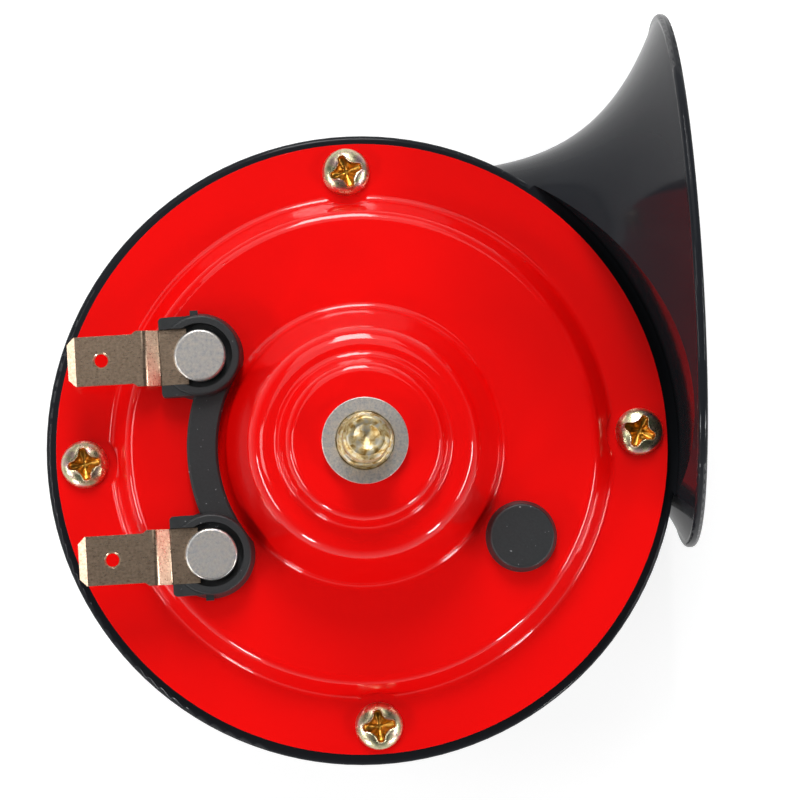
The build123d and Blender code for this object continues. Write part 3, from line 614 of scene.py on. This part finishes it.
# %% Edge rounding
EDGE_RADIUS = {
    "rear_cover": 0.36, "terminal_insulator": 0.14,
    "upper_terminal": 0.10, "lower_terminal": 0.10, "hub_washer": 0.10, "adjuster_plug": 0.10,
}
WELD_DISTANCE = 0.0005      # mm
SHARP_ANGLE = 40            # degrees
for name, radius in EDGE_RADIUS.items():
    weld = nodes[name].modifiers.new("join corners", "WELD")
    weld.merge_threshold = WELD_DISTANCE * MM
    bevel = nodes[name].modifiers.new("edge radius", "BEVEL")
    bevel.width = radius * MM
    bevel.segments = 3
    bevel.limit_method = "ANGLE"
    bevel.angle_limit = math.radians(SHARP_ANGLE)
    bevel.harden_normals = False
print("rounded:", ", ".join(EDGE_RADIUS))

# %% [markdown]
# ## Floor and background
# The horn lies face down on a white table, and the camera looks straight down on its cover. The table is a wide
# pale plane under the lowest point of the bell. Its own colour stays below white so that it does not flood
# the horn with light. What the camera sees of it is lifted to white, and what gloss mirrors of it is lifted by
# a quarter of that, so the shiny edges still have a pale table to show.

# %% Floor
TABLE_HALF = 3.0            # metres
TABLE_GAP = 0.2             # mm under the bell's lowest point
TABLE_GREY = 0.62
TABLE_LIFT = 0.62
MIRRORED_SHARE = 0.25

table_z = cad_box[0][2] - TABLE_GAP * MM
corners = [(x * TABLE_HALF, y * TABLE_HALF, table_z) for x, y in ((-1, -1), (1, -1), (1, 1), (-1, 1))]
table_mesh = bpy.data.meshes.new("table")
table_mesh.from_pydata(corners, [], [(0, 1, 2, 3)])
floor = bpy.data.objects.new("table", table_mesh)
bpy.context.scene.collection.objects.link(floor)
print("table at z in mm:", round(table_z / MM, 2))

# %% Table top
table_top, tree, shader = new_material("white table top")
rays = add_node(tree, "ShaderNodeLightPath")
lift = add_node(tree, "ShaderNodeEmission", {}, {"Color": (1.0, 1.0, 1.0, 1.0), "Strength": TABLE_LIFT})
both = add_node(tree, "ShaderNodeAddShader", {}, {0: shader.outputs["BSDF"], 1: lift.outputs["Emission"]})
mirrored = add_node(tree, "ShaderNodeMath", {"operation": "MULTIPLY"}, {
    0: rays.outputs["Is Glossy Ray"], 1: MIRRORED_SHARE})
straight = add_node(tree, "ShaderNodeMath", {"operation": "MAXIMUM"}, {
    0: rays.outputs["Is Camera Ray"], 1: rays.outputs["Is Transmission Ray"]})
seen = add_node(tree, "ShaderNodeMath", {"operation": "MAXIMUM"}, {
    0: straight.outputs["Value"], 1: mirrored.outputs["Value"]})
pick = add_node(tree, "ShaderNodeMixShader", {}, {
    "Fac": seen.outputs["Value"], 1: shader.outputs["BSDF"], 2: both.outputs["Shader"]})
tree.links.new(pick.outputs["Shader"], tree.nodes["Material Output"].inputs["Surface"])
shader.inputs["Base Color"].default_value = (TABLE_GREY, TABLE_GREY, TABLE_GREY, 1.0)
shader.inputs["Roughness"].default_value = 0.8
shader.inputs["Specular IOR Level"].default_value = 0.1
table_mesh.materials.append(table_top)
print("finish:", table_top.name)

# %% [markdown]
# ## World
# A studio has soft light from all round and a dark gap overhead where the camera hangs. A picture of such a room
# could be wrapped round the scene, but three numbers do. The world is bright near the horizon and darker
# overhead for reflections, plain grey for soft light, and white to the eye.

# %% World
SOFT_LIGHT = 0.17
HORIZON, OVERHEAD = 0.6, 0.035      # strengths seen by reflections
OVERHEAD_FROM = 0.5                 # height of the direction where the dark part begins, 1 being straight up
world = bpy.data.worlds.new("studio")
bpy.context.scene.world = world
world.use_nodes = True
tree = world.node_tree
backdrop = tree.nodes["Background"]
place = add_node(tree, "ShaderNodeTexCoord")
split = add_node(tree, "ShaderNodeSeparateXYZ", {}, {"Vector": place.outputs["Generated"]})
height = add_node(tree, "ShaderNodeMapRange", {}, {
    "Value": split.outputs["Z"], "From Min": 0.0, "From Max": OVERHEAD_FROM,
    "To Min": HORIZON, "To Max": OVERHEAD})
rays = add_node(tree, "ShaderNodeLightPath")
soft = add_node(tree, "ShaderNodeMix", {"data_type": "FLOAT"}, {
    "Factor": rays.outputs["Is Glossy Ray"], "A": SOFT_LIGHT, "B": height.outputs["Result"]})
white = add_node(tree, "ShaderNodeMix", {"data_type": "FLOAT"}, {
    "Factor": rays.outputs["Is Camera Ray"], "A": soft.outputs["Result"], "B": 1.0})
tree.links.new(white.outputs["Result"], backdrop.inputs["Strength"])
backdrop.inputs["Color"].default_value = (1.0, 1.0, 1.0, 1.0)
print("world:", world.name)

# %% [markdown]
# ## Lamps
# Glossy enamel is drawn by what it mirrors. On a round, stepped cover each lamp shows as one bright mark on
# every bend, on the side that the lamp is on. A soft box stands behind, a strip stands at each side, and two
# small windows stand in front. A pale wall behind, a card high on the left and a fill overhead are wide and
# weak, and they only soften what lies between the marks.

# %% Soft boxes
LAMP_TARGET = Vector((0.0, 0.0, -20 * MM))


def soft_box(name, bearing, elevation, distance, width, height, power):
    """An area lamp that looks at the horn, given in degrees, metres and watts."""
    lamp = bpy.data.lights.new(name, "AREA")
    lamp.shape = "RECTANGLE"
    lamp.size = width
    lamp.size_y = height
    lamp.energy = power
    holder = bpy.data.objects.new(name, lamp)
    b, e = math.radians(bearing), math.radians(elevation)
    away = Vector((math.cos(b) * math.cos(e), math.sin(b) * math.cos(e), math.sin(e)))
    holder.location = LAMP_TARGET + distance * away
    holder.rotation_euler = (LAMP_TARGET - holder.location).to_track_quat("-Z", "Y").to_euler()
    bpy.context.scene.collection.objects.link(holder)


# Each row: bearing and elevation, distance, width and height, power
LAMPS = {
    "soft box behind": (92, 38, 0.8, 0.20, 0.40, 3.4),
    "pale wall behind": (96, 42, 1.2, 1.0, 0.5, 1.8),
    "strip left": (197, 30, 1.2, 0.60, 0.10, 4.2),
    "strip right": (344, 30, 1.2, 0.60, 0.10, 4.2),
    "window left": (236, 12, 1.2, 0.17, 0.14, 3.0),
    "window right": (308, 12, 1.2, 0.17, 0.14, 3.0),
    "card left": (176, 60, 1.5, 0.40, 0.36, 2.2),
    "overhead fill": (100, 66, 1.5, 0.9, 0.7, 1.6),
}
for name, values in LAMPS.items():
    soft_box(name, *values)
print("lamps:", ", ".join(LAMPS))

# %% [markdown]
# ## Camera
# The camera hangs about 600 mm over the cover, a few degrees off the pole axis, with a long lens, so the horn
# shows almost as in a plan. It is turned a little about its own axis. A constraint could aim it, but then that
# turn would be lost, so its three axes are worked out from where it is, where it looks and how far it is turned.

# %% Camera
EYE = (-12.22, -29.58, 574.98)      # mm
SIGHT = (0.0293, 0.0596, -1.0)
CAMERA_TURN = 3.48                  # degrees
FOCAL_LENGTH = 5.76125              # as a share of the picture's width
SENSOR_WIDTH = 36.0                 # mm

eye = Vector(EYE) * MM
sight = Vector(SIGHT).normalized()
turn = math.radians(CAMERA_TURN)
up = Vector((math.sin(turn), math.cos(turn), 0.0))
right = sight.cross(up).normalized()
up = right.cross(sight)
lens = bpy.data.cameras.new("camera")
lens.sensor_width = SENSOR_WIDTH
lens.lens = SENSOR_WIDTH * FOCAL_LENGTH
lens.clip_start = 0.01
camera = bpy.data.objects.new("camera", lens)
camera.matrix_world = Matrix((
    (right.x, up.x, -sight.x, eye.x),
    (right.y, up.y, -sight.y, eye.y),
    (right.z, up.z, -sight.z, eye.z),
    (0, 0, 0, 1)))
bpy.context.scene.collection.objects.link(camera)
bpy.context.scene.camera = camera
bpy.context.scene.view_settings.view_transform = "Standard"
print("lens in mm:", round(lens.lens, 1))
